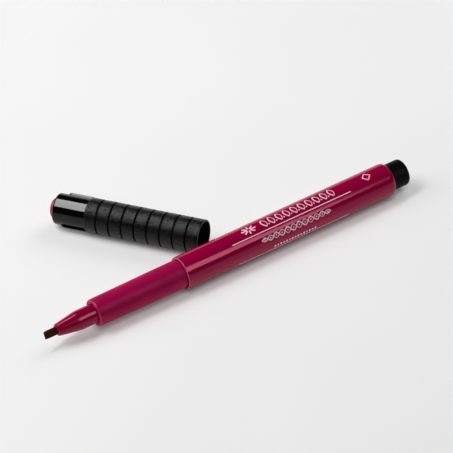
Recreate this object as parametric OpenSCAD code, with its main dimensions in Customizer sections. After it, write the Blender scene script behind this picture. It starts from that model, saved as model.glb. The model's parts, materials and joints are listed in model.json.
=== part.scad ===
// Calligraphy marker with a chisel nib, lying on a table with its cap off beside it.
// The origin is on the pen's axis at the front step of the barrel, where the cap's mouth
// stops when the pen is capped. The nib points along -X and +Z is up.

/* [Barrel] */
// Outside diameter of the barrel
barrel_d = 11.2; // [11:0.1:12]
// Length of the barrel, from the front step to its rear end
barrel_len = 81.3; // [76:0.1:100]
// Diameter of the bore for the reservoir and the rear plug
barrel_bore_d = 8.2; // [7.9:0.05:8.4]
// Length of the rounded rear end
barrel_round_len = 1.6; // [1:0.1:4]
// Diameter left at the rear end after the rounding
barrel_end_d = 9.4; // [9.2:0.1:10]

/* [Grip section] */
// Diameter of the band that the cap's mouth slides over
seat_d = 9.7; // [9.55:0.05:9.75]
// Length of that band
seat_len = 6; // [4:0.5:10]
// Diameter of the section at its front shoulder
section_front_d = 9.3; // [9:0.05:9.5]
// Length of the section, from the barrel's step to its front face
section_len = 32.9; // [32.7:0.1:33.1]
// Length and depth of the rounded front shoulder
section_round = 0.6; // [0.4:0.1:1]
// Diameter of the shank pressed into the barrel
shank_d = 8.7; // [8.6:0.05:9]
// Length of the shank
shank_len = 9; // [6:0.5:14]

/* [Nib holder] */
// Diameter of the holder's cylinder
holder_d = 6.6; // [6.2:0.1:6.6]
// Diameter of the holder's tip
holder_tip_d = 4.2; // [4:0.1:4.6]
// Length of the cylinder in front of the section
holder_len = 6; // [5.9:0.1:6.1]
// Length of the cone
cone_len = 7.8; // [7.4:0.1:7.9]
// Length of the holder hidden inside the section
holder_tail = 11.5; // [8:0.5:11.5]

/* [Nib] */
// Width of the chisel edge
nib_w = 2.5; // [1.5:0.1:2.5]
// Thickness of the nib's bar
nib_t = 1.2; // [0.8:0.1:1.3]
// Length of nib in front of the holder
nib_out = 4.5; // [3:0.1:4.7]
// Whole length of the nib
nib_len = 34.3; // [33:0.1:35]
// Lean of the chisel edge from upright
nib_lean = 20; // [0:1:90]
// Length of the sloped sides at the chisel edge
bevel_len = 1.3; // [0.8:0.1:2]
// Thickness left at the chisel edge
edge_t = 0.4; // [0.2:0.1:0.8]

/* [Ink reservoir] */
// Outside diameter of the wrapped reservoir
film_d = 7.5; // [7.1:0.1:7.6]
// Thickness of the plastic wrap
film_wall = 0.15; // [0.1:0.05:0.3]

/* [Rear plug] */
// Diameter of the plug's head
plug_d = 9.1; // [8.8:0.05:9.3]
// Length of the head behind the barrel
plug_out = 6.3; // [3:0.1:8]
// Length of the stem inside the barrel
plug_in = 7; // [4:0.5:10]
// Radius of the head's rear edge
plug_round = 1.2; // [0.3:0.1:1.5]

/* [Cap] */
// Outside diameter of the ribbed part
cap_d = 11.6; // [11.5:0.1:12.2]
// Length of the cap's moulding, mouth to closed end
cap_len = 52.4; // [51.8:0.1:55]
// Length of the ribbed part
ribbed_len = 40.5; // [39:0.1:42]
// Diameter of the smooth closed end
smooth_d = 10.5; // [10.4:0.1:11]
// Diameter of the bore at the mouth
cap_bore_d = 9.9; // [9.8:0.01:9.95]
// Length of that bore, without its lead-in
cap_bore_len = 33; // [32.9:0.1:33.3]
// Number of grooves round the ribbed part
groove_count = 8; // [1:1:8]
// Distance between grooves
groove_pitch = 4.55; // [3:0.05:4.6]
// Distance from the mouth to the first groove
groove_first = 4.35; // [3:0.05:4.7]
// Width of a groove
groove_w = 0.6; // [0.3:0.05:0.8]
// Depth of a groove
groove_depth = 0.4; // [0.1:0.05:0.4]
// Length of an anti-roll fin
fin_len = 8.9; // [4:0.1:9.5]
// Thickness of a fin
fin_t = 1.1; // [0.6:0.1:1.6]
// Height of a fin above the smooth part
fin_h = 0.7; // [0.4:0.1:0.8]
// Turn of the pair of fins about the cap's axis
fin_turn = 39; // [0:1:70]
// Diameter of the colour insert in the closed end
insert_d = 7; // [6.8:0.1:8.1]
// Height of the insert's button above the closed end
insert_out = 1.8; // [1:0.1:2.5]

/* [Cap at rest] */
// Centre of the cap's mouth on the table, along the pen
mouth_x = 16.2; // [15:0.1:20]
// Centre of the cap's mouth on the table, across the pen
mouth_y = 11.1; // [9.8:0.1:14]
// Turn of the cap from the pen's direction
cap_yaw = -55.5; // [-60:0.5:-50]

/* [Hidden] */

// Faces of a turned piece; a true surface of revolution either way
$fn = 96;
// Steps in each rounded corner of a turned outline
corner_steps = 6;
// Gap left between pressed pieces, on the radius
press_gap = 0.01;
// Gap round the sliding nib, on each side
nib_gap = 0.05;
// Cut past a face, so that no skin is left
past = 0.5;

barrel_r = barrel_d / 2;
bore_r = barrel_bore_d / 2;
shank_r = shank_d / 2;
seat_r = seat_d / 2;
holder_r = holder_d / 2;
holder_tip_r = holder_tip_d / 2;
film_r = film_d / 2;
cap_r = cap_d / 2;
smooth_r = smooth_d / 2;
cap_bore_r = cap_bore_d / 2;
insert_r = insert_d / 2;

// Stations along the pen
section_face_x = -section_len;
cone_start_x = section_face_x - holder_len;
holder_tip_x = cone_start_x - cone_len;
nib_tip_x = holder_tip_x - nib_out;
nib_end_x = nib_tip_x + nib_len;
holder_end_x = section_face_x + holder_tail;
web_t = 2;
web_hole_r = 2.6;
reservoir_x = holder_end_x + web_t;
plug_stem_x = barrel_len - plug_in;

// Stations along the cap, measured from its mouth towards its closed end along -X
liner_r = 4.4;
liner_wall = 0.8;
liner_end_wall = 0.4;
seal_r = holder_r + 0.08;
seal_len = 4;
bore_step = 0.75;
liner_start = cap_bore_len + bore_step + 0.25;
insert_t = 0.8;
liner_end = cap_len - insert_t;
nose_r = 3;
nose_end = liner_end + 1.2;

// Points of a quarter ellipse between two points (radius, station). "bulge" is 1 where the
// curve leaves the first point along the axis, and 0 where it leaves it across the axis.
function quarter(a, b, bulge) = [
    for (i = [0 : corner_steps])
        let (t = 90 * i / corner_steps)
        bulge == 1
            ? [a[0] + (b[0] - a[0]) * (1 - cos(t)), a[1] + (b[1] - a[1]) * sin(t)]
            : [a[0] + (b[0] - a[0]) * sin(t), a[1] + (b[1] - a[1]) * (1 - cos(t))]
];

// Turns an outline of (radius, station) points about the X axis.
module turned(outline) {
    rotate([0, 90, 0])
        rotate_extrude()
            polygon(outline);
}

// Rectangular bar about the X axis that leans with the chisel edge.
module leaning_bar(x0, x1, w, t) {
    rotate([-nib_lean, 0, 0])
        translate([x0, -t / 2, -w / 2])
            cube([x1 - x0, t, w]);
}

module at_cap() {
    translate([mouth_x, mouth_y, cap_r - barrel_r])
        rotate([0, 0, cap_yaw])
            children();
}

module barrel() {
    rim = 0.3;
    end_r = barrel_end_d / 2;
    color([0.65, 0.0, 0.29])
        turned(concat(
            [[shank_r, 0]],
            quarter([barrel_r - rim, 0], [barrel_r, rim], 0),
            quarter([barrel_r, barrel_len - barrel_round_len], [end_r, barrel_len], 1),
            [
                [bore_r, barrel_len],
                [bore_r, shank_len],
                [shank_r, shank_len],
            ]
        ));
}

module front_section() {
    front_r = section_front_d / 2;
    lead = 0.4;
    tail_r = shank_r - press_gap;
    socket_r = holder_r + press_gap;
    core_r = film_r + nib_gap;
    color([0.59, 0.0, 0.29])
        turned(concat(
            [[socket_r, section_face_x]],
            quarter([front_r - section_round, section_face_x],
                [front_r, section_face_x + section_round], 0),
            [
                [seat_r, -seat_len],
                [seat_r, 0],
                [tail_r, 0],
                [tail_r, shank_len - lead],
                [tail_r - lead, shank_len],
                [core_r, shank_len],
                [core_r, reservoir_x],
                [web_hole_r, reservoir_x],
                [web_hole_r, holder_end_x],
                [socket_r, holder_end_x],
            ]
        ));
}

module nib_holder() {
    tip_round = 0.45;
    chamber_r = 2;
    slot_len = 7;
    color([0.69, 0.0, 0.31])
        difference() {
            turned(concat(
                [[0, holder_tip_x]],
                quarter([holder_tip_r - tip_round, holder_tip_x],
                    [holder_tip_r, holder_tip_x + tip_round], 0),
                [
                    [holder_r, cone_start_x],
                    [holder_r, holder_end_x],
                    [0, holder_end_x],
                ]
            ));
            leaning_bar(holder_tip_x - past, holder_tip_x + slot_len + past,
                nib_w + 2 * nib_gap, nib_t + 2 * nib_gap);
            translate([holder_tip_x + slot_len, 0, 0])
                rotate([0, 90, 0])
                    cylinder(r = chamber_r, h = holder_end_x - holder_tip_x - slot_len + past);
        }
}

module nib() {
    tail_bevel = 2;
    color([0.22, 0.05, 0.02])
        rotate([-nib_lean, 0, 0])
            translate([0, 0, -nib_w / 2])
                linear_extrude(nib_w)
                    polygon([
                        [nib_tip_x, edge_t / 2],
                        [nib_tip_x, -edge_t / 2],
                        [nib_tip_x + bevel_len, -nib_t / 2],
                        [nib_end_x - tail_bevel, -nib_t / 2],
                        [nib_end_x, -edge_t / 2],
                        [nib_end_x, edge_t / 2],
                        [nib_end_x - tail_bevel, nib_t / 2],
                        [nib_tip_x + bevel_len, nib_t / 2],
                    ]);
}

module ink_reservoir() {
    inset = 0.3;
    pocket_end = nib_end_x + 2 * nib_gap;
    color([0.55, 0.1, 0.3])
        difference() {
            translate([reservoir_x + inset, 0, 0])
                rotate([0, 90, 0])
                    cylinder(r = film_r - film_wall - press_gap,
                        h = plug_stem_x - reservoir_x - 2 * inset);
            leaning_bar(reservoir_x - past, pocket_end,
                nib_w + 2 * nib_gap, nib_t + 2 * nib_gap);
        }
}

module reservoir_film() {
    color([0.9, 0.9, 0.92, 0.5])
        turned([
            [film_r - film_wall, reservoir_x],
            [film_r, reservoir_x],
            [film_r, plug_stem_x],
            [film_r - film_wall, plug_stem_x],
        ]);
}

module rear_plug() {
    stem_r = bore_r - press_gap;
    head_r = plug_d / 2;
    hollow_r = 3.2;
    lead = 0.4;
    end_wall = 2;
    end_x = barrel_len + plug_out;
    color([0.07, 0.07, 0.07])
        turned(concat(
            [
                [0, end_x - end_wall],
                [hollow_r, end_x - end_wall],
                [hollow_r, plug_stem_x],
                [stem_r - lead, plug_stem_x],
                [stem_r, plug_stem_x + lead],
                [stem_r, barrel_len],
                [head_r, barrel_len],
            ],
            quarter([head_r, end_x - plug_round], [head_r - plug_round, end_x], 1),
            [[0, end_x]]
        ));
}

// One groove of the ribbed part as outline points, from the mouth's side to the far side.
function groove(station) = [
    [cap_r, -(station - groove_w / 2)],
    [cap_r - groove_depth, -(station - groove_w / 4)],
    [cap_r - groove_depth, -(station + groove_w / 4)],
    [cap_r, -(station + groove_w / 2)],
];

module fin() {
    ramp = 0.9;
    root_r = smooth_r - 0.3;
    top_r = smooth_r + fin_h;
    end_x = -(ribbed_len + fin_len);
    translate([0, 0, -fin_t / 2])
        linear_extrude(fin_t)
            polygon([
                [end_x, root_r],
                [end_x + ramp / 3, smooth_r + fin_h / 2],
                [end_x + ramp, top_r],
                [-ribbed_len + past, top_r],
                [-ribbed_len + past, root_r],
            ]);
}

module cap_shell() {
    rim = 0.2;
    lead = 0.35;
    shoulder = 0.35;
    end_round = 0.8;
    end_drop = 1;
    liner_bore_r = liner_r + press_gap;
    insert_bore_r = insert_r + press_gap;
    color([0.09, 0.09, 0.09])
        at_cap()
            union() {
                turned(concat(
                    [
                        [cap_bore_r, -lead],
                        [cap_bore_r + lead, 0],
                        [cap_r - rim, 0],
                        [cap_r, -rim],
                    ],
                    [for (i = [0 : groove_count - 1])
                        each groove(groove_first + i * groove_pitch)],
                    [
                        [cap_r, -(ribbed_len - shoulder)],
                        [cap_r - shoulder, -ribbed_len],
                        [smooth_r, -ribbed_len],
                    ],
                    quarter([smooth_r, -(cap_len - end_round)], [smooth_r - end_drop, -cap_len], 1),
                    [
                        [insert_bore_r, -cap_len],
                        [insert_bore_r, -liner_end],
                        [liner_bore_r, -liner_end],
                        [liner_bore_r, -(lead + cap_bore_len + bore_step)],
                        [cap_bore_r, -(lead + cap_bore_len)],
                    ]
                ));
                for (side = [0, 180])
                    rotate([side + fin_turn, 0, 0])
                        fin();
            }
}

module inner_cap() {
    mouth_flare = 0.5;
    chamber_r = liner_r - liner_wall;
    nose_bore_r = nose_r - liner_wall;
    seal_start = liner_start + mouth_flare;
    chamber_start = seal_start + seal_len + 0.3;
    color([0.8, 0.8, 0.8])
        at_cap()
            turned([
                [seal_r + mouth_flare, -liner_start],
                [liner_r, -liner_start],
                [liner_r, -liner_end],
                [nose_r, -liner_end],
                [nose_r, -nose_end],
                [0, -nose_end],
                [0, -(nose_end - liner_end_wall)],
                [nose_bore_r, -(nose_end - liner_end_wall)],
                [nose_bore_r, -(liner_end - liner_end_wall)],
                [chamber_r, -(liner_end - liner_end_wall)],
                [chamber_r, -chamber_start],
                [seal_r, -(seal_start + seal_len)],
                [seal_r, -seal_start],
            ]);
}

module cap_end_insert() {
    edge_len = 1.2;
    edge_drop = 2.2;
    pocket_r = nose_r + press_gap;
    pocket_end = nose_end + 0.05;
    tip = cap_len + insert_out;
    color([0.85, 0.1, 0.42])
        at_cap()
            turned(concat(
                [
                    [0, -pocket_end],
                    [pocket_r, -pocket_end],
                    [pocket_r, -liner_end],
                    [insert_r, -liner_end],
                ],
                quarter([insert_r, -(tip - edge_len)], [insert_r - edge_drop, -tip], 1),
                [[0, -tip]]
            ));
}

barrel();
front_section();
nib_holder();
nib();
ink_reservoir();
reservoir_film();
rear_plug();
cap_shell();
inner_cap();
cap_end_insert();
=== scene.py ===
"""Looks of a calligraphy marker that lies on a pale table with its ribbed cap off beside it.

The pen lies along X with its nib at -X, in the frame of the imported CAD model, in metres. A station
is a place along a piece's own X axis, and a radius is the distance from that axis.
"""

import json
import math
import random

import bmesh
import bpy
from mathutils import Matrix, Vector


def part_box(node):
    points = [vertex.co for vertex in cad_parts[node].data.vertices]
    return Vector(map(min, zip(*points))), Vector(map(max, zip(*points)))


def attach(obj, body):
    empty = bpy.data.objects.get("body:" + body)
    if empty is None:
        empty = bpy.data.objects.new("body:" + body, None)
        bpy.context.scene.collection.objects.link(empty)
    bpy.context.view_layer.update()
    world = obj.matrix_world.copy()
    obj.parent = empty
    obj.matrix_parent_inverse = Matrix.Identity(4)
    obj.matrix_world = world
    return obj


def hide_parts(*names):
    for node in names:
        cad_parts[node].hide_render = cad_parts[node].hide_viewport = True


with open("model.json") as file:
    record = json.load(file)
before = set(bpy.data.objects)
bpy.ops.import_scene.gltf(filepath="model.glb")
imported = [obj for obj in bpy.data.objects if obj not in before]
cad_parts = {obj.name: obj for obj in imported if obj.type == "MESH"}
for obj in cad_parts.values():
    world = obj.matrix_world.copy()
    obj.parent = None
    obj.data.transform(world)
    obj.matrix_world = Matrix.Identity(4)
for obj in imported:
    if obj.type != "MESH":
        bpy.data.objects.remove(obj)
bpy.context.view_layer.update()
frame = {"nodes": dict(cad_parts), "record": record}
random.seed(7)  # for the furrows of the nib

MM = 0.001
SEGMENTS = 192  # faces round a turned piece


# ---------------------------------------------------------------- places from the frame


def mount(name):
    """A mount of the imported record."""
    return next(m for m in frame["record"]["mounts"] if m["name"] == name)


def span(node, axis="x"):
    """Lowest and highest coordinate of a CAD node along an axis."""
    low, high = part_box(node)
    return getattr(low, axis), getattr(high, axis)


FLOOR_Z = span("barrel", "z")[0]
BARREL_R = span("barrel", "z")[1]
BARREL_END = span("barrel")[1]
SEAT_R = mount("section_seat")["dims"]["r_mm"] * MM
SEAT_LEN = mount("section_seat")["dims"]["length_mm"] * MM
SECTION_FACE = span("front_section")[0]
HOLDER_R = span("nib_holder", "z")[1]
HOLDER_TIP = span("nib_holder")[0]
PLUG_R = mount("rear_post")["dims"]["r_mm"] * MM
PLUG_END = span("rear_plug")[1]
NIB_TIP = span("nib")[0]

# The cap is built in its own frame: its mouth at the origin, its closed end along -X.
CAP_MOUNT = mount("cap_mouth")
CAP_DIR = Vector(CAP_MOUNT["axis"]).normalized()
CAP_LEAD = 0.35 * MM  # chamfer at the mouth of the bore
CAP_BORE_R = CAP_MOUNT["dims"]["r_mm"] * MM
CAP_BORE_LEN = CAP_MOUNT["dims"]["length_mm"] * MM
CAP_R = (span("cap_shell", "z")[1] - span("cap_shell", "z")[0]) / 2
CAP_MOUTH = Vector(CAP_MOUNT["pos_m"]) + CAP_DIR * (CAP_BORE_LEN / 2 + CAP_LEAD)
CAP_FRAME = Matrix.Translation(CAP_MOUTH) @ Matrix.Rotation(math.atan2(CAP_DIR.y, CAP_DIR.x), 4, "Z")


# ---------------------------------------------------------------- mesh building


def new_object(name, verts, faces, sharp_angle=40):
    """A smooth-shaded mesh object with creases above an angle in degrees."""
    mesh = bpy.data.meshes.new(name)
    mesh.from_pydata([tuple(v) for v in verts], [], faces)
    mesh.validate()
    mesh.update()
    mesh.polygons.foreach_set("use_smooth", [True] * len(mesh.polygons))
    mesh.set_sharp_from_angle(angle=math.radians(sharp_angle))
    obj = bpy.data.objects.new(name, mesh)
    bpy.context.scene.collection.objects.link(obj)
    return obj


def rounded(start, end, along_axis, steps=8):
    """A quarter ellipse between two (station, radius) points. It leaves the first point along
    the axis, or across it."""
    points = []
    for i in range(steps + 1):
        t = math.pi / 2 * i / steps
        turn = (math.sin(t), 1 - math.cos(t)) if along_axis else (1 - math.cos(t), math.sin(t))
        points.append(tuple(a + (b - a) * s for a, b, s in zip(start, end, turn)))
    return points


def supported(outline, closed):
    """The outline with points added near its corners and along its long runs, so that smooth
    shading stays true beside each edge."""
    margin, longest = 0.06 * MM, 3 * MM
    result = []
    count = len(outline) if closed else len(outline) - 1
    for i in range(count):
        a, b = outline[i], outline[(i + 1) % len(outline)]
        length = math.dist(a, b)
        result.append(a)
        if length < 4 * margin:
            continue
        inner = max(1, math.ceil(length / longest))
        shares = [margin / length]
        shares += [k / inner for k in range(1, inner)]
        shares.append(1 - margin / length)
        result += [(a[0] + (b[0] - a[0]) * s, a[1] + (b[1] - a[1]) * s) for s in shares]
    if not closed:
        result.append(outline[-1])
    return result


def flip_outwards(obj):
    """Turns every face of a closed mesh outwards."""
    mesh = bmesh.new()
    mesh.from_mesh(obj.data)
    bmesh.ops.recalc_face_normals(mesh, faces=mesh.faces)
    mesh.to_mesh(obj.data)
    mesh.free()


def band(near, far):
    """Faces between two rings of vertices, either of which may be a single pole."""
    count = max(len(near), len(far))
    faces = []
    for k in range(count):
        k2 = (k + 1) % count
        if len(near) == 1:
            faces.append((near[0], far[k], far[k2]))
        elif len(far) == 1:
            faces.append((near[k], far[0], near[k2]))
        else:
            faces.append((near[k], far[k], far[k2], near[k2]))
    return faces


def lathe(name, outline, closed=False, raise_by=None, segments=SEGMENTS):
    """Turns (station, radius) points about the X axis. A radius of 0 at either end closes the
    piece with a pole. raise_by(station, angle, radius) adds to the radius."""
    verts, rings = [], []
    for station, radius in supported(outline, closed):
        if radius == 0:
            rings.append([len(verts)])
            verts.append((station, 0.0, 0.0))
            continue
        ring = []
        for k in range(segments):
            angle = math.tau * k / segments
            r = radius + (raise_by(station, angle, radius) if raise_by else 0.0)
            ring.append(len(verts))
            verts.append((station, r * math.cos(angle), r * math.sin(angle)))
        rings.append(ring)
    pairs = list(zip(rings, rings[1:]))
    if closed:
        pairs.append((rings[-1], rings[0]))
    faces = [face for near, far in pairs for face in band(near, far)]
    obj = new_object(name, verts, faces)
    flip_outwards(obj)
    return obj


def tube(name, sections, sharp_angle=40):
    """A closed mesh through sections of equally many points, with a flat face at each end."""
    verts = [point for section in sections for point in section]
    count = len(sections[0])
    rings = [range(i * count, (i + 1) * count) for i in range(len(sections))]
    faces = [face for near, far in zip(rings, rings[1:]) for face in band(near, far)]
    faces.append(tuple(rings[0]))
    faces.append(tuple(reversed(rings[-1])))
    obj = new_object(name, verts, faces, sharp_angle)
    flip_outwards(obj)
    return obj


def box_ring(half_w, half_t, corner, count):
    """Points of a rectangle with rounded corners in the YZ plane, evenly spaced by angle."""
    power = 2 + 2 * min(half_w, half_t) / corner
    ring = []
    for k in range(count):
        angle = math.tau * (k + 0.5) / count
        c, s = math.cos(angle), math.sin(angle)
        r = (abs(c / half_t) ** power + abs(s / half_w) ** power) ** (-1 / power)
        ring.append((r * c, r * s))
    return ring


def dress(obj, *materials):
    """Gives a piece its materials. Faces that aren't painted have the first."""
    for material in materials:
        obj.data.materials.append(material)


def paint(obj, slot, inside):
    """Gives a material slot to the faces whose (station, radius) centre is inside a zone."""
    for polygon in obj.data.polygons:
        centre = polygon.center
        if inside(centre.x, math.hypot(centre.y, centre.z)):
            polygon.material_index = slot


def place(obj, body, slot, *nodes):
    """Sets which body a piece rides on and hides the CAD nodes it stands for. The slot is not used."""
    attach(obj, body)
    if nodes:
        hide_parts(*nodes)


# ---------------------------------------------------------------- materials

# socket numbers of a Mix node that blends colours
MIX_FACTOR, MIX_FIRST, MIX_SECOND, MIX_RESULT = 0, 6, 7, 2

WHITE_TINT = (1.0, 1.0, 1.0)
ROSE_TINT = (1.0, 0.3, 0.45)
PALE_ROSE_TINT = (1.0, 0.75, 0.82)


class Shader:
    """A material with one Principled shader and helpers for procedural detail."""

    def __init__(self, name):
        self.material = bpy.data.materials.new(name)
        self.material.use_nodes = True
        self.tree = self.material.node_tree
        self.bsdf = self.tree.nodes["Principled BSDF"]
        self.coord = self.tree.nodes.new("ShaderNodeTexCoord").outputs["Object"]

    def set(self, **values):
        """Constants on the shader's own sockets, named with _ for spaces."""
        for name, value in values.items():
            self.bsdf.inputs[name.replace("_", " ")].default_value = value

    def link(self, source, target):
        self.tree.links.new(source, target)

    def stretched(self, scale):
        """The object's own coordinates, scaled by axis."""
        mapping = self.tree.nodes.new("ShaderNodeMapping")
        mapping.inputs["Scale"].default_value = scale
        self.link(self.coord, mapping.inputs["Vector"])
        return mapping.outputs["Vector"]

    def noise(self, size, detail, stretch=(1, 1, 1), roughness=0.5):
        """Noise whose features are about size metres across."""
        node = self.tree.nodes.new("ShaderNodeTexNoise")
        node.inputs["Scale"].default_value = 1 / size
        node.inputs["Detail"].default_value = detail
        node.inputs["Roughness"].default_value = roughness
        self.link(self.stretched(stretch), node.inputs["Vector"])
        return node.outputs["Fac"]

    def ramp(self, source, low, high, start=0.3, end=0.7):
        """Maps a value between start and end onto the range from low to high."""
        node = self.tree.nodes.new("ShaderNodeMapRange")
        node.inputs["From Min"].default_value = start
        node.inputs["From Max"].default_value = end
        node.inputs["To Min"].default_value = low
        node.inputs["To Max"].default_value = high
        self.link(source, node.inputs["Value"])
        return node.outputs["Result"]

    def colour(self, source, first, second, start=0.3, end=0.7):
        """Blends two base colours by a value between start and end."""
        factor = self.ramp(source, 0, 1, start, end)
        node = self.tree.nodes.new("ShaderNodeMix")
        node.data_type = "RGBA"
        node.inputs[MIX_FIRST].default_value = (*first, 1)
        node.inputs[MIX_SECOND].default_value = (*second, 1)
        self.link(factor, node.inputs[MIX_FACTOR])
        self.link(node.outputs[MIX_RESULT], self.bsdf.inputs["Base Color"])

    def roughness(self, source, low, high):
        self.link(self.ramp(source, low, high), self.bsdf.inputs["Roughness"])

    def reflect(self, ior, tint=WHITE_TINT):
        """Strength and colour of the mirror reflection."""
        self.set(IOR=ior, Specular_Tint=(*tint, 1))

    def glow(self, strength, reach):
        """Even light given off by the surface, that dies away under things closer than reach."""
        node = self.tree.nodes.new("ShaderNodeAmbientOcclusion")
        node.samples = 8
        node.inputs["Distance"].default_value = reach
        self.link(node.outputs["Color"], self.bsdf.inputs["Emission Color"])
        self.set(Emission_Strength=strength)

    def bump(self, *heights):
        """Bumps from (source, height in metres) pairs, one on top of the other."""
        previous = None
        for source, height in heights:
            node = self.tree.nodes.new("ShaderNodeBump")
            node.inputs["Strength"].default_value = 1.0
            node.inputs["Distance"].default_value = height
            self.link(source, node.inputs["Height"])
            if previous:
                self.link(previous, node.inputs["Normal"])
            previous = node.outputs["Normal"]
        self.link(previous, self.bsdf.inputs["Normal"])


def moulded_gloss(name, colour, deep, rough=(0.07, 0.13), tint=ROSE_TINT, ior=1.5):
    """Polished injection-moulded plastic with a faint flow pattern and handling marks."""
    s = Shader(name)
    flow = s.noise(9 * MM, 2, (0.35, 1, 1))
    haze = s.noise(2.2 * MM, 4)
    peel = s.noise(0.9 * MM, 2)
    scratch = s.noise(0.35 * MM, 2, (0.08, 1, 1))
    s.colour(flow, colour, deep)
    s.roughness(haze, *rough)
    s.bump((peel, 0.004 * MM), (scratch, 0.0012 * MM))
    s.reflect(ior, tint)
    return s.material


def moulded_satin(name, colour, deep, rough, grain, tint=WHITE_TINT, ior=1.45):
    """Eroded-mould satin plastic: fine even grain of a height in mm, with slightly polished
    patches."""
    s = Shader(name)
    speckle = s.noise(0.25 * MM, 3)
    patches = s.noise(2.6 * MM, 4, (0.5, 1, 1))
    s.colour(patches, colour, deep, 0.38, 0.62)
    s.roughness(patches, *rough)
    s.bump((patches, 4 * grain * MM), (speckle, grain * MM))
    s.reflect(ior, tint)
    return s.material


def black_ribbed():
    """Satin black of the cap's ribbed part, with the coarse mottled grain of its mould."""
    s = Shader("cap_satin_black")
    mottle = s.noise(1.1 * MM, 5, roughness=0.7)
    grain = s.noise(0.3 * MM, 3)
    blotches = s.noise(1.4 * MM, 4)
    s.colour(mottle, (0.0003, 0.0003, 0.0003), (0.004, 0.004, 0.0036), 0.4, 0.6)
    s.roughness(blotches, 0.15, 0.31)
    s.bump((mottle, 0.2 * MM), (grain, 0.045 * MM))
    s.reflect(1.31)
    return s.material


def painted_edge_highlight(name, colour, deep):
    """Painted highlight on an exposed edge: a lighter plastic colour in place of the light its rounding
    catches.
    """
    s = Shader(name)
    blotches = s.noise(0.8 * MM, 3)
    s.colour(blotches, colour, deep, 0.35, 0.65)
    s.roughness(blotches, 0.25, 0.4)
    s.bump((blotches, 0.01 * MM))
    s.reflect(1.5, PALE_ROSE_TINT)
    return s.material


def ink_fibre(name, tip, body):
    """Bonded fibre soaked with ink: long fine strands, with a little sheen."""
    s = Shader(name)
    strands = s.noise(0.11 * MM, 3, (0.06, 1, 1))
    blots = s.noise(0.9 * MM, 3)
    s.colour(blots, tip, body)
    s.roughness(strands, 0.45, 0.75)
    s.bump((strands, 0.03 * MM), (blots, 0.02 * MM))
    s.reflect(1.2, (1.0, 0.7, 0.65))
    s.set(Sheen_Weight=0.03, Sheen_Roughness=0.5)
    return s.material


def print_ink():
    """Opaque pale ink with slightly uneven cover. A faint rose light of its own keeps it as pale
    on the barrel's dark side as on its lit side."""
    s = Shader("print_white")
    cover = s.noise(0.3 * MM, 3)
    s.colour(cover, (0.96, 0.7, 0.77), (0.86, 0.56, 0.64))
    s.roughness(cover, 0.4, 0.55)
    s.set(Emission_Color=(1, 0.4, 0.55, 1), Emission_Strength=0.14)
    s.bump((cover, 0.003 * MM))
    return s.material


def clear_film():
    """Thin clear wrap of the reservoir."""
    s = Shader("wrap_clear")
    ripple = s.noise(3 * MM, 2, (0.3, 1, 1))
    s.colour(ripple, (0.8, 0.8, 0.82), (0.9, 0.9, 0.92))
    s.roughness(ripple, 0.1, 0.25)
    s.reflect(1.5)
    s.set(Transmission_Weight=0.6)
    return s.material


GLOSS_BARREL = moulded_gloss("barrel_gloss_magenta", (0.40, 0.0, 0.055), (0.36, 0.0, 0.048))
GLOSS_HOLDER = moulded_gloss(
    "holder_gloss_magenta", (0.32, 0.0, 0.037), (0.28, 0.0, 0.03), rough=(0.1, 0.18)
)
GLOSS_INSERT = moulded_gloss("insert_gloss_pink", (0.5, 0.05, 0.12), (0.45, 0.04, 0.11))
SATIN_GRIP = moulded_satin(
    "grip_satin_magenta",
    (0.44, 0.0, 0.078),
    (0.37, 0.0, 0.062),
    rough=(0.38, 0.5),
    grain=0.014,
    tint=ROSE_TINT,
    ior=1.28,
)
SATIN_PLUG = moulded_satin(
    "plug_matt_black",
    (0.001, 0.001, 0.001),
    (0.002, 0.002, 0.0018),
    rough=(0.4, 0.5),
    grain=0.03,
    ior=1.15,
)
GLOSS_BLACK = moulded_gloss(
    "cap_gloss_black",
    (0.0012, 0.0012, 0.001),
    (0.002, 0.002, 0.0018),
    rough=(0.05, 0.1),
    tint=WHITE_TINT,
    ior=1.35,
)
SATIN_BLACK = black_ribbed()
# painted shade: a darker, dull black for the cap's grooves and bore, where shade falls
RECESS_SHADE_BLACK = moulded_satin(
    "groove_dull_black",
    (0.0006, 0.0006, 0.0006),
    (0.0012, 0.0012, 0.0011),
    rough=(0.6, 0.75),
    grain=0.03,
    ior=1.15,
)
# painted highlights: lighter colours for the barrel's front rim and the grip's front shoulder, in place
# of the light these rounded edges catch
BARREL_EDGE_HIGHLIGHT = painted_edge_highlight("barrel_edge_worn", (0.65, 0.1, 0.22), (0.5, 0.03, 0.11))
GRIP_EDGE_HIGHLIGHT = painted_edge_highlight("grip_edge_worn", (0.5, 0.01, 0.11), (0.4, 0.003, 0.075))
LINER = moulded_satin(
    "liner_natural", (0.62, 0.6, 0.56), (0.56, 0.55, 0.52), rough=(0.4, 0.5), grain=0.006
)
NIB_FIBRE = ink_fibre("nib_fibre_ink", (0.045, 0.004, 0.0015), (0.055, 0.007, 0.003))
CORE_FIBRE = ink_fibre("reservoir_fibre_ink", (0.25, 0.01, 0.08), (0.32, 0.02, 0.12))
PRINT_WHITE = print_ink()
FILM = clear_film()


# ---------------------------------------------------------------- pen


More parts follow.
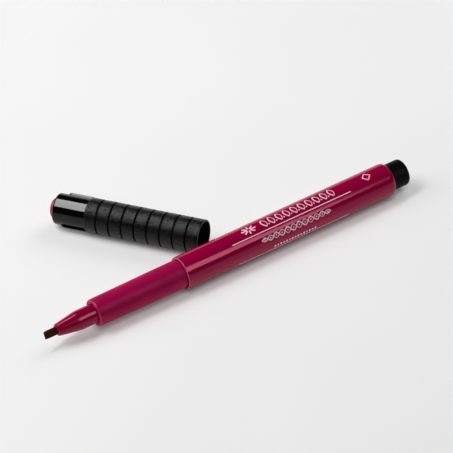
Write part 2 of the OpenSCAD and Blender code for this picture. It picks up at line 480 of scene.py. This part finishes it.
def make_barrel():
    """The magenta tube: rounded at the rear, bored for the section's shank and the plug."""
    shank_r, socket_len = 4.35 * MM, 9 * MM
    bore_r = 4.1 * MM
    rim, blunt = 0.36 * MM, 0.02 * MM
    round_len, end_r = 1.6 * MM, 4.7 * MM
    outline = [(0, shank_r), (0, BARREL_R - rim - blunt)]
    outline += rounded((0, BARREL_R - rim), (rim, BARREL_R), False)
    outline += rounded((BARREL_END - round_len, BARREL_R), (BARREL_END, end_r), True, 14)
    outline += [(BARREL_END, bore_r), (socket_len, bore_r), (socket_len, shank_r)]

    def on_rim(x, radius):
        return x < 0.75 * rim and radius > BARREL_R - 0.9 * rim

    barrel = lathe("barrel_tube", outline, closed=True)
    dress(barrel, GLOSS_BARREL, BARREL_EDGE_HIGHLIGHT)
    # painted highlight: the faces of the rounded front rim get the lighter edge colour
    paint(barrel, 1, on_rim)
    place(barrel, "pen", "barrel_gloss", "barrel")


def make_grip():
    """The satin grip section, with a dark gap before the barrel and its shank inside."""
    front_r, shoulder = 4.65 * MM, 0.6 * MM
    socket_r, socket_end = HOLDER_R + 0.01 * MM, SECTION_FACE + 3 * MM
    lip = 0.25 * MM
    gap = 0.28 * MM
    shank_r, shank_bore_r, shank_end = 4.34 * MM, 3.8 * MM, 6 * MM
    outline = [(socket_end, socket_r)]
    outline += rounded((SECTION_FACE + lip, socket_r), (SECTION_FACE, socket_r + lip), True)
    outline += rounded((SECTION_FACE, front_r - shoulder), (SECTION_FACE + shoulder, front_r), False)
    outline += [(-SEAT_LEN, SEAT_R), (-gap, SEAT_R), (-gap, SEAT_R - gap), (0, SEAT_R - gap)]
    outline += [(0, shank_r), (shank_end, shank_r), (shank_end, shank_bore_r)]

    def on_front_edge(x, radius):
        return x < SECTION_FACE + 0.8 * shoulder and radius > front_r - 0.8 * shoulder

    grip = lathe("grip_section", outline, closed=True)
    dress(grip, SATIN_GRIP, GRIP_EDGE_HIGHLIGHT)
    # painted highlight: the faces of the front shoulder get the lighter edge colour
    paint(grip, 1, on_front_edge)
    place(grip, "pen", "grip_satin", "front_section")


NIB_LEAN = math.radians(20)


def leaned(y, z):
    """A point of the nib's section, turned so that its wide side leans from +Z towards +Y."""
    c, s = math.cos(NIB_LEAN), math.sin(NIB_LEAN)
    return y * c + z * s, -y * s + z * c


def nose_outline():
    """The holder's outside: rounded tip, cone, soft bend and cylinder."""
    cone_len = 7.8 * MM
    tip_r, tip_round = 2.1 * MM, 0.45 * MM
    bend, bend_steps = 0.9 * MM, 6
    inside_grip = 3 * MM
    bend_start = HOLDER_TIP + cone_len - bend
    slope = (HOLDER_R - tip_r) / (cone_len - tip_round)
    outline = rounded((HOLDER_TIP, tip_r - tip_round), (HOLDER_TIP + tip_round, tip_r), False)
    outline.append((bend_start, HOLDER_R - slope * bend))
    for i in range(1, bend_steps + 1):
        t = i / bend_steps
        outline.append((bend_start + 2 * bend * t, HOLDER_R - slope * bend * (1 - t) ** 2))
    outline.append((SECTION_FACE + inside_grip, HOLDER_R))
    return supported(outline, closed=False)


def slot_section(x, grow=0.0):
    """The holder's slot for the nib's bar at a station, wider all round by grow."""
    half_w, half_t, corner = 1.3 * MM, 0.65 * MM, 0.2 * MM
    ring = box_ring(half_w + grow, half_t + grow, corner, SEGMENTS)
    return [(x, *leaned(y, z)) for y, z in ring]


def make_nose():
    """The nib holder: a cylinder and a cone, with a slot in the tip for the nib's bar."""
    slot_depth, below_mouth, chamfer = 4 * MM, (0.12 * MM, 0.06 * MM), 0.05 * MM
    sections = [slot_section(HOLDER_TIP + depth) for depth in (slot_depth, *below_mouth)]
    sections.append(slot_section(HOLDER_TIP, chamfer))
    for x, radius in nose_outline():
        angles = [math.tau * (k + 0.5) / SEGMENTS - NIB_LEAN for k in range(SEGMENTS)]
        sections.append([(x, radius * math.cos(a), radius * math.sin(a)) for a in angles])
    nose = tube("nose_cone", sections)
    dress(nose, GLOSS_HOLDER)
    place(nose, "pen", "holder_gloss", "nib_holder")


def nib_section(back, furrows):
    """The nib's bar at a place back from its edge, in mm. Furrows of different counts run along
    the bar, and small nicks mark its edge."""
    half_w, half_t, corner = 1.25 * MM, 0.6 * MM, 0.12 * MM
    edge_half_t, bevel_len = 0.2 * MM, 1.3 * MM
    edge_round, edge_round_len = 0.07 * MM, 0.1
    fewest, more_each, drift = 11, 7, 90
    furrow_share = 0.0035
    nick, nick_len, nick_waves, nick_start = 0.018 * MM, 0.3, 9, 2
    points = 96

    x = NIB_TIP + back * MM
    here_half_t = edge_half_t + (half_t - edge_half_t) * min(1.0, back * MM / bevel_len)
    rounding = edge_round * max(0.0, 1 - back / edge_round_len)
    section = []
    for k, (y, z) in enumerate(box_ring(half_w - rounding, here_half_t - rounding, corner, points)):
        angle = math.tau * k / points
        wave = 0.0
        for i, start in enumerate(furrows):
            wave += math.sin((fewest + more_each * i) * angle + start + x * drift * i)
        y, z = y * (1 + furrow_share * wave), z * (1 + furrow_share * wave)
        notch = math.sin(nick_waves * z / MM + nick_start)
        recess = nick * notch * max(0.0, 1 - back / nick_len)
        section.append((x + abs(recess), *leaned(y, z)))
    return section


def make_nib():
    """Chisel nib: a bar of bonded fibre with a bevelled edge, furrowed along its strands."""
    near_edge = (0, 0.04, 0.1, 0.2, 0.35, 0.55, 0.8, 1.05, 1.3)
    along_bar = (1.6, 2, 2.5, 3, 3.6, 4.4, 6, 9, 14, 20, 27, 34.1)
    furrows = [random.uniform(0, math.tau) for _ in range(7)]
    sections = [nib_section(back, furrows) for back in near_edge + along_bar]
    nib = tube("chisel_nib", sections, sharp_angle=30)
    dress(nib, NIB_FIBRE)
    place(nib, "nib", "nib_fibre", "nib")


def make_plug():
    """The matt black stopper, with a round edge and the small pit of its mould's gate."""
    edge = 1.2 * MM
    stem_r, stem_start = 4.09 * MM, BARREL_END - 7 * MM
    hollow_r, hollow_end = 3.2 * MM, PLUG_END - 2 * MM
    gate_r, pit = 0.7 * MM, 0.25 * MM
    outline = [(PLUG_END - pit, 0), (PLUG_END - pit, gate_r - 0.15 * MM)]
    outline += [(PLUG_END - 0.2 * MM, gate_r), (PLUG_END - 0.03 * MM, gate_r + 0.08 * MM)]
    outline += [(PLUG_END, gate_r + 0.2 * MM)]
    outline += reversed(rounded((PLUG_END - edge, PLUG_R), (PLUG_END, PLUG_R - edge), True))
    outline += [(BARREL_END, PLUG_R), (BARREL_END, stem_r), (stem_start, stem_r)]
    outline += [(stem_start, hollow_r), (hollow_end, hollow_r), (hollow_end, 0)]
    plug = lathe("rear_stopper", outline)
    dress(plug, SATIN_PLUG)
    place(plug, "pen", "plug_matt", "rear_plug")


# ---------------------------------------------------------------- print on the barrel


class Print:
    """Thin raised ink marks laid on the barrel. Places are (station, turn) pairs: metres along
    the pen and degrees round it from level at -Y up towards +Z."""

    LIFT = 0.012 * MM
    DEPTH = 0.03 * MM

    def __init__(self):
        self.verts = []
        self.faces = []

    def point(self, x, turn, radius):
        angle = math.radians(turn)
        return (x, -radius * math.cos(angle), radius * math.sin(angle))

    def sheet(self, grid):
        """A closed slab over a grid of (station, turn) rows."""
        rows, cols = len(grid), len(grid[0])
        base = len(self.verts)
        for radius in (BARREL_R + self.LIFT, BARREL_R - self.DEPTH):
            for row in grid:
                self.verts += [self.point(x, turn, radius) for x, turn in row]

        def index(layer, i, j):
            return base + layer * rows * cols + i * cols + j

        for i in range(rows - 1):
            for j in range(cols - 1):
                top = [index(0, i, j), index(0, i + 1, j), index(0, i + 1, j + 1), index(0, i, j + 1)]
                low = [v + rows * cols for v in top]
                self.faces += [tuple(top), tuple(reversed(low))]
        border = [(i, 0) for i in range(rows)]
        border += [(rows - 1, j) for j in range(1, cols)]
        border += [(i, cols - 1) for i in range(rows - 2, -1, -1)]
        border += [(0, j) for j in range(cols - 2, 0, -1)]
        for a, b in zip(border, border[1:] + border[:1]):
            self.faces.append((index(0, *a), index(1, *a), index(1, *b), index(0, *b)))

    def bar(self, x0, x1, turn0, turn1):
        """A straight bar between two stations and two turns, in cells of up to 2 mm by 3 degrees."""
        longest, widest = 2 * MM, 3
        rows = max(2, math.ceil((x1 - x0) / longest) + 1)
        cols = max(2, math.ceil(abs(turn1 - turn0) / widest) + 1)
        turns = [turn0 + (turn1 - turn0) * j / (cols - 1) for j in range(cols)]
        stations = [x0 + (x1 - x0) * i / (rows - 1) for i in range(rows)]
        self.sheet([[(x, turn) for turn in turns] for x in stations])

    def line(self, path, width):
        """A ribbon of one width along a path."""
        grid = []
        for i, (x, turn) in enumerate(path):
            before, after = path[max(0, i - 1)], path[min(len(path) - 1, i + 1)]
            dx = after[0] - before[0]
            darc = math.radians(after[1] - before[1]) * BARREL_R
            length = math.hypot(dx, darc)
            side_x = -darc / length * width / 2
            side_turn = math.degrees(dx / length * width / 2 / BARREL_R)
            grid.append([(x + side_x * k, turn + side_turn * k) for k in (-1, 0, 1)])
        self.sheet(grid)

    def leaf(self, x, turn, height, half_width, lean, widths):
        """An outlined pointed leaf that stands across the pen: one strong arc and one fine arc."""
        steps = 12
        for side, width in zip((-1, 1), widths):
            path = []
            for i in range(steps + 1):
                u = 2 * i / steps - 1
                path.append((x + side * half_width * (1 - u * u) + lean * u, turn + height / 2 * u))
            self.line(path, width)

    def lozenge(self, x, turn, half_len, half_turn):
        """A filled lozenge with slightly blunt ends."""
        half_steps, blunt = 4, 0.04
        rows = []
        for i in range(2 * half_steps + 1):
            u = i / half_steps - 1
            share = max(blunt, 1 - abs(u))
            rows.append([(x + half_len * u, turn + half_turn * share * k) for k in (-1, 0, 1)])
        self.sheet(rows)

    def finish(self, name):
        marks = new_object(name, self.verts, self.faces)
        flip_outwards(marks)
        dress(marks, PRINT_WHITE)
        place(marks, "pen", "barrel_gloss")


STRONG_LINE, FINE_LINE = 0.42 * MM, 0.24 * MM


def print_rules():
    """The two long rules above and below the ornament."""
    # each bar: from station to station, from turn to turn
    rules = Print()
    rules.bar(18.4 * MM, 64.6 * MM, 52.3, 55.5)
    rules.bar(19.4 * MM, 62.3 * MM, -32, -28.8)
    rules.finish("print_rules")


def add_rosette(marks, centre, turn):
    """Eight short rays round a centre, reaching further along the pen than round it."""
    rays, steps = 8, 6
    reach, longer = 1.7 * MM, 1.6
    inner, width = 0.25, 0.5 * MM
    for k in range(rays):
        angle = math.tau * k / rays
        path = []
        for i in range(steps + 1):
            u = inner + (1 - inner) * i / steps
            arc = math.degrees(reach * u * math.sin(angle) / BARREL_R)
            path.append((centre + longer * reach * u * math.cos(angle), turn + arc))
        marks.line(path, width)


def print_leaves():
    """A row of outlined leaves above the upper rule, led by a rosette."""
    leaves = Print()
    turn, height, half_width, lean = 82, 33, 0.85 * MM, -0.35 * MM
    count, first, last = 10, 32.2 * MM, 58.4 * MM
    dot_drop, dot_half_len, dot_half_turn = 11, 0.3 * MM, 3.2
    for i in range(count):
        x = first + (last - first) * i / (count - 1)
        leaves.leaf(x, turn, height, half_width, lean, (STRONG_LINE, FINE_LINE))
        if i < count - 1:
            between = x + (last - first) / (count - 1) / 2
            leaves.lozenge(between, turn - dot_drop, dot_half_len, dot_half_turn)
    add_rosette(leaves, 26.3 * MM, turn)
    leaves.finish("print_leaves")


def print_braid():
    """Two strands that wind round each other under the upper rule, with a lozenge in each eye."""
    braid = Print()
    turn, swing = 25, 10.5
    start, end = 28.5 * MM, 55.4 * MM
    waves = 6
    steps, fade_power = waves * 24, 0.3
    eyes, eye_half_len, eye_half_turn = 2 * waves, 0.35 * MM, 3.5
    for phase, width in ((0.0, STRONG_LINE), (math.pi, FINE_LINE)):
        path = []
        for i in range(steps + 1):
            share = i / steps
            fade = math.sin(math.pi * share) ** fade_power
            angle = math.tau * waves * share + phase
            path.append((start + (end - start) * share, turn + swing * fade * math.sin(angle)))
        braid.line(path, width)
    for i in range(eyes):
        x = start + (end - start) * (i + 0.5) / eyes
        braid.lozenge(x, turn, eye_half_len, eye_half_turn)
    braid.finish("print_braid")


def print_dots():
    """A row of small lozenges below the braid, tall and short by turns."""
    dots = Print()
    count, first, pitch, turn = 15, 33.2, 1.12, -16
    half_len, tall, shorter_by = 0.4 * MM, 6.5, 2
    for i in range(count):
        dots.lozenge((first + pitch * i) * MM, turn, half_len, tall - shorter_by * (i % 2))
    dots.finish("print_dots")


def print_end_mark():
    """A small open lozenge near the rear end."""
    mark = Print()
    x, turn = 72.3 * MM, 80
    half_len, half_turn = 1.5 * MM, 15
    steps, width = 6, 0.36 * MM
    corners = [(x - half_len, turn), (x, turn + half_turn), (x + half_len, turn), (x, turn - half_turn)]
    for a, b in zip(corners, corners[1:] + corners[:1]):
        path = []
        for i in range(steps + 1):
            path.append((a[0] + (b[0] - a[0]) * i / steps, a[1] + (b[1] - a[1]) * i / steps))
        mark.line(path, width)
    mark.finish("print_end_mark")


# ---------------------------------------------------------------- cap

RIBBED_LEN = 40.5 * MM
CAP_LEN = 52.4 * MM
SMOOTH_R = 5.25 * MM
GROOVE_FIRST, GROOVE_PITCH, GROOVE_COUNT = 4.35 * MM, 4.55 * MM, 8
GROOVE_W = 0.6 * MM
FIN_LEN, FIN_RAMP = 8.9 * MM, 0.9 * MM
LINER_R, LINER_START, LINER_END = 4.41 * MM, 34.1 * MM, 51.6 * MM


def groove_outline(middle):
    """The cap's outline across one groove, whose middle is this far from the mouth."""
    depth, lip, land = 0.4 * MM, 0.06 * MM, 0.12 * MM
    half = [(GROOVE_W * 0.26, depth), (GROOVE_W * 0.4, 0.4 * depth), (GROOVE_W * 0.5, lip)]
    half.append((GROOVE_W * 0.5 + land, 0))
    before = [(-(middle - off), CAP_R - drop) for off, drop in reversed(half)]
    after = [(-(middle + off), CAP_R - drop) for off, drop in half]
    return before + after


def cap_outline():
    """The cap from its mouth over the ribs and the smooth end, and back along its inside."""
    rim, lead_r = 0.22 * MM, CAP_BORE_R + CAP_LEAD
    shoulder, root = 0.35 * MM, 0.15 * MM
    fin_zone, fin_steps = FIN_LEN + FIN_RAMP, 40
    end_round, end_drop = 0.8 * MM, 1.0 * MM
    insert_r = 3.51 * MM
    outline = [(-CAP_LEAD, CAP_BORE_R), (-0.05 * MM, lead_r - 0.03 * MM), (0, lead_r + 0.03 * MM)]
    outline += rounded((0, CAP_R - rim), (-rim, CAP_R), False)
    for i in range(GROOVE_COUNT):
        outline += groove_outline(GROOVE_FIRST + GROOVE_PITCH * i)
    outline += rounded((-(RIBBED_LEN - shoulder), CAP_R), (-RIBBED_LEN, CAP_R - shoulder), True, 5)
    outline += [(-RIBBED_LEN, SMOOTH_R + root), (-RIBBED_LEN - root, SMOOTH_R)]
    for i in range(fin_steps + 1):
        outline.append((-(RIBBED_LEN + 0.2 * MM + fin_zone * i / fin_steps), SMOOTH_R))
    outline += rounded((-(CAP_LEN - end_round), SMOOTH_R), (-CAP_LEN, SMOOTH_R - end_drop), True, 10)
    outline += [(-CAP_LEN, insert_r), (-LINER_END, insert_r), (-LINER_END, LINER_R)]
    outline += [(-LINER_START, LINER_R), (-(CAP_LEAD + CAP_BORE_LEN), CAP_BORE_R)]
    return outline


def fin_height(station, angle, radius):
    """How far the two opposite fins stand out of the smooth end at a place, 0 beside them."""
    thick, height, wall = 1.1 * MM, 0.7 * MM, 0.14 * MM
    turn = math.radians(39)
    in_zone = -(RIBBED_LEN + FIN_LEN) <= station <= -RIBBED_LEN - 0.1 * MM
    if radius < SMOOTH_R - 0.01 * MM or not in_zone:
        return 0.0
    off = abs(math.remainder(angle - turn, math.pi)) * SMOOTH_R
    across = max(0.0, min(1.0, (thick / 2 + wall - off) / wall))
    from_end = station + RIBBED_LEN + FIN_LEN
    along = max(0.0, min(1.0, from_end / FIN_RAMP)) ** 0.5
    return height * across * across * (3 - 2 * across) * along


# Zones of the cap's surface, by the station and radius of a face.


def on_smooth_end(x, radius):
    return x < -RIBBED_LEN - 0.01 * MM and radius > LINER_R


def in_groove(x, radius):
    from_first = -x - GROOVE_FIRST + GROOVE_PITCH / 2
    off = from_first % GROOVE_PITCH - GROOVE_PITCH / 2
    near = 0 < from_first < GROOVE_PITCH * GROOVE_COUNT and abs(off) < GROOVE_W / 2
    return near and CAP_BORE_R < radius < CAP_R - 0.03 * MM


def in_bore(x, radius):
    return x > -(CAP_LEAD + CAP_BORE_LEN) and radius < CAP_BORE_R + CAP_LEAD


def make_cap():
    """The black cap: satin ribs, a glossy smooth end with two fins, and grooves and bore in a darker
    dull black that is painted shade.
    """
    outline = cap_outline()
    segments = 3 * SEGMENTS // 2  # finer than the rest, for the fins
    cap = lathe("cap_moulding", outline, closed=True, raise_by=fin_height, segments=segments)
    dress(cap, SATIN_BLACK, GLOSS_BLACK, RECESS_SHADE_BLACK)
    paint(cap, 1, on_smooth_end)
    # painted shade: the grooves and the bore get the darker, dull black
    paint(cap, 2, in_groove)
    paint(cap, 2, in_bore)
    cap.matrix_world = CAP_FRAME
    place(cap, "cap", "cap_black", "cap_shell")


def make_insert():
    """The colour button in the cap's closed end, with a soft edge and a faint hollow."""
    radius = 3.5 * MM
    seat, tip = 51.6 * MM, 54.2 * MM
    pocket_r, pocket_end = 3.01 * MM, 52.85 * MM
    edge_len, edge_drop = 1.2 * MM, 2.2 * MM
    hollow_r, hollow = 0.6 * MM, 0.05 * MM
    outline = [(-pocket_end, 0), (-pocket_end, pocket_r), (-seat, pocket_r), (-seat, radius)]
    outline += rounded((-(tip - edge_len), radius), (-tip, radius - edge_drop), True, 14)
    outline += [(-tip, hollow_r), (-tip + hollow, 0.6 * hollow_r), (-tip + hollow, 0)]
    insert = lathe("end_button", outline)
    dress(insert, GLOSS_INSERT)
    insert.matrix_world = CAP_FRAME
    place(insert, "cap", "insert_gloss", "cap_end_insert")


def finish_hidden_nodes():
    """Gives the inner CAD nodes their materials."""
    materials = {"ink_reservoir": CORE_FIBRE, "reservoir_film": FILM, "inner_cap": LINER}
    for node, material in materials.items():
        mesh = frame["nodes"][node].data
        mesh.materials.clear()
        mesh.materials.append(material)


# ---------------------------------------------------------------- stage, light and camera


def table_paper():
    """Matt pale paper with a little even light of its own, dark again right under the object."""
    s = Shader("table_paper")
    tone = s.noise(60 * MM, 2)
    fine = s.noise(0.8 * MM, 3)
    s.colour(tone, (0.70, 0.70, 0.70), (0.68, 0.68, 0.68))
    s.roughness(fine, 0.6, 0.7)
    s.glow(0.32, 2 * MM)
    s.reflect(1.3)
    return s.material


def make_stage():
    """A wide round pale table whose edge curves up into a low wall, beyond every camera place."""
    sides, flat_rings = 96, 4
    flat, curve, wall = 3.4, 0.3, 0.35
    profile = [(flat * i / flat_rings, 0) for i in range(1, flat_rings + 1)]
    profile += [(flat + h, v) for h, v in rounded((0, 0), (curve, curve), False, 12)[1:]]
    profile.append((flat + curve, wall))
    verts, rings = [(0, 0, FLOOR_Z)], [[0]]
    for reach, rise in profile:
        rings.append(range(len(verts), len(verts) + sides))
        for k in range(sides):
            turn = math.tau * k / sides
            verts.append((reach * math.cos(turn), reach * math.sin(turn), FLOOR_Z + rise))
    faces = [face for near, far in zip(rings, rings[1:]) for face in band(near, far)]
    table = new_object("pale_table", verts, faces)
    table.data.materials.append(table_paper())


def aimed(centre, direction, distance):
    """Placing matrix at a distance from a point in a direction, facing back to the point."""
    spot = centre + Vector(direction).normalized() * distance
    return Matrix.Translation(spot) @ (centre - spot).to_track_quat("-Z", "Y").to_matrix().to_4x4()


def softbox(name, placing, size, radiance):
    """A rectangular softbox of a given radiance that shines along its own -Z."""
    data = bpy.data.lights.new(name, "AREA")
    data.shape = "RECTANGLE"
    data.size, data.size_y = size
    data.energy = math.pi * size[0] * size[1] * radiance
    light = bpy.data.objects.new(name, data)
    light.matrix_world = placing
    bpy.context.scene.collection.objects.link(light)
    return light


def reflection(name, placing, size, radiance):
    """A softbox that is seen in glossy surfaces and lights no matt ones."""
    softbox(name, placing, size, radiance).visible_diffuse = False


def fill(name, placing, size, radiance):
    """A softbox that lights the scene and isn't seen in glossy surfaces."""
    softbox(name, placing, size, radiance).visible_glossy = False


def light_overhead(middle):
    """The long overhead strip: one light that casts its shadows, and a longer one just above it
    for the highlight it draws along each piece."""
    height = 0.7
    width, strip_len, gleam_len = 0.2 * height, 0.7 * height, 1.18 * height
    run_x, run_y = 0.846, 0.532
    spot = middle + Vector((-0.43, 0.29, 1)) * height
    along = Matrix.Rotation(math.atan2(run_y, run_x), 4, "Z")
    above = Vector((0, 0, 0.001))
    fill("key_strip", Matrix.Translation(spot) @ along, (strip_len, width), 13.4)
    reflection("key_gleam", Matrix.Translation(spot + above) @ along, (gleam_len, width), 15.1)


def light_reflections(middle):
    """A front softbox with two narrow panes beside it, and a low band of light behind."""
    front = aimed(middle, (0.215, -0.62, 0.60), 0.8)
    reflection("front_softbox", front, (0.34, 0.40), 6.4)
    pane_height, pane_drop = 0.16, -0.03
    for shift, width in ((0.168, 0.018), (0.2, 0.012)):
        pane = front @ Matrix.Translation((shift, pane_drop, 0))
        reflection("front_pane", pane, (width, pane_height), 4.0)
    reflection("back_glow", aimed(middle, (0, 1, 0.2), 0.5), (1.2, 0.16), 0.8)


def light_world():
    """A faint cool light from everywhere."""
    world = bpy.data.worlds.new("studio")
    world.use_nodes = True
    background = world.node_tree.nodes["Background"]
    background.inputs["Color"].default_value = (0.8, 0.85, 0.9, 1)
    background.inputs["Strength"].default_value = 0.02
    bpy.context.scene.world = world


def make_lights():
    """The overhead strip, the softboxes for reflections, broad fills from left and right behind,
    and the world."""
    middle = Vector((0.015, 0.01, 0))
    light_overhead(middle)
    light_reflections(middle)
    fill("left_fill", aimed(middle, (-1.1, 0.75, 1.0), 1.0), (0.8, 0.6), 2.35)
    fill("right_fill", aimed(middle, (1.0, 0.25, 0.8), 0.9), (0.6, 0.6), 3.0)
    light_world()


def make_camera():
    """Near-parallel view down onto the table from the nib's side, with a slight roll."""
    azimuth, elevation, roll = (math.radians(a) for a in (-29.76, 37.65, -5.28))
    target, distance = Vector((0.02887, 0.01774, FLOOR_Z)), 1.377
    focal_mm, sensor_mm = 333.3, 36
    flat = math.cos(elevation)
    back = Vector((math.sin(azimuth) * flat, -math.cos(azimuth) * flat, math.sin(elevation)))
    level = Vector((math.cos(azimuth), math.sin(azimuth), 0))
    upright = back.cross(level)
    right = level * math.cos(roll) + upright * math.sin(roll)
    up = upright * math.cos(roll) - level * math.sin(roll)
    data = bpy.data.cameras.new("camera")
    data.lens = focal_mm
    data.sensor_width = sensor_mm
    data.clip_start = 0.05
    camera = bpy.data.objects.new("camera", data)
    turn = Matrix((right, up, back)).transposed().to_4x4()
    camera.matrix_world = Matrix.Translation(target + back * distance) @ turn
    bpy.context.scene.collection.objects.link(camera)
    bpy.context.scene.camera = camera


make_barrel()
make_grip()
make_nose()
make_nib()
make_plug()
print_rules()
print_leaves()
print_braid()
print_dots()
print_end_mark()
make_cap()
make_insert()
finish_hidden_nodes()
make_stage()
make_lights()
make_camera()
bpy.context.scene.view_settings.view_transform = "Standard"
